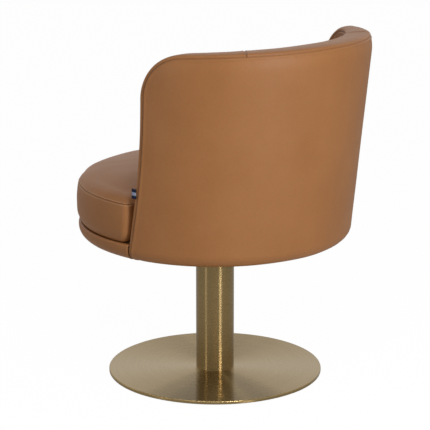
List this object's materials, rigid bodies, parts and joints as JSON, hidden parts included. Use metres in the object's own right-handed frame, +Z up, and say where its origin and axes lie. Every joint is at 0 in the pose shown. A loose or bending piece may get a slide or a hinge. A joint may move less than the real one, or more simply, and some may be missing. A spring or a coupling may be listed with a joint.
{
  "type": "swivel dining chair",
  "caption": "Round-seated swivel dining chair with an upholstered tub back, a thick boxed cushion and one brushed column on a round floor plate.",
  "frame": {"origin": "on the floor under the middle of the floor plate, on the swivel's axis", "axes": "+Z up along the column; the sitter faces -Y; the middle of the back is at +Y"},
  "size_m": [0.574, 0.6222, 0.7381],
  "materials": {
    "grip_rubber": "matte",
    "brass_finish": "brushed, brass-coloured",
    "plain_steel": "zinc plated",
    "bearing_steel": "ground",
    "bush_plastic": "moulded",
    "plywood": "raw plywood",
    "felt": "needled felt",
    "foam": "cut foam",
    "leather": "satin, smooth grain",
    "black_cloth": "non-woven",
    "tab_cloth": "woven ribbon"
  },
  "bodies": {
    "base": {"grip_ring": "grip_rubber", "floor_plate": "brass_finish", "column_tube": "brass_finish", "column_foot": "plain_steel", "column_screws": "plain_steel", "bearing_housing": "brass_finish", "upper_bush": "bush_plastic", "lower_bush": "bush_plastic", "lower_race": "bearing_steel", "ball_cage": "bush_plastic", "bearing_balls": "bearing_steel"},
    "seat": {"upper_race": "bearing_steel", "spindle": "plain_steel", "spindle_washer": "plain_steel", "spindle_bolt": "plain_steel", "swivel_plate": "plain_steel", "plate_bolts": "plain_steel", "plate_washers": "plain_steel", "tee_nuts": "plain_steel", "base_ring": "plywood", "ring_screws": "plain_steel", "seat_board": "plywood", "front_rail": "plywood", "rail_screws": "plain_steel", "back_board": "plywood", "back_screws": "plain_steel", "deck_pad": "felt", "band_foam": "foam", "back_outer_foam": "foam", "back_inner_foam": "foam", "front_band_cover": "leather", "back_outer_cover": "leather", "back_inner_cover": "leather", "rim_border": "leather", "wing_border_left": "leather", "wing_border_right": "leather", "cushion_foam": "foam", "cushion_top_cover": "leather", "cushion_boxing": "leather", "cushion_base_cloth": "black_cloth", "label_tab": "tab_cloth", "dust_cover": "black_cloth", "cover_staples": "plain_steel"}
  },
  "joints": [
    {"name": "seat_swivel", "type": "hinge", "parent": "base", "child": "seat", "pos_m": [0, 0, 0.3], "axis": [0, 0, 1], "continuous": true}
  ]
}
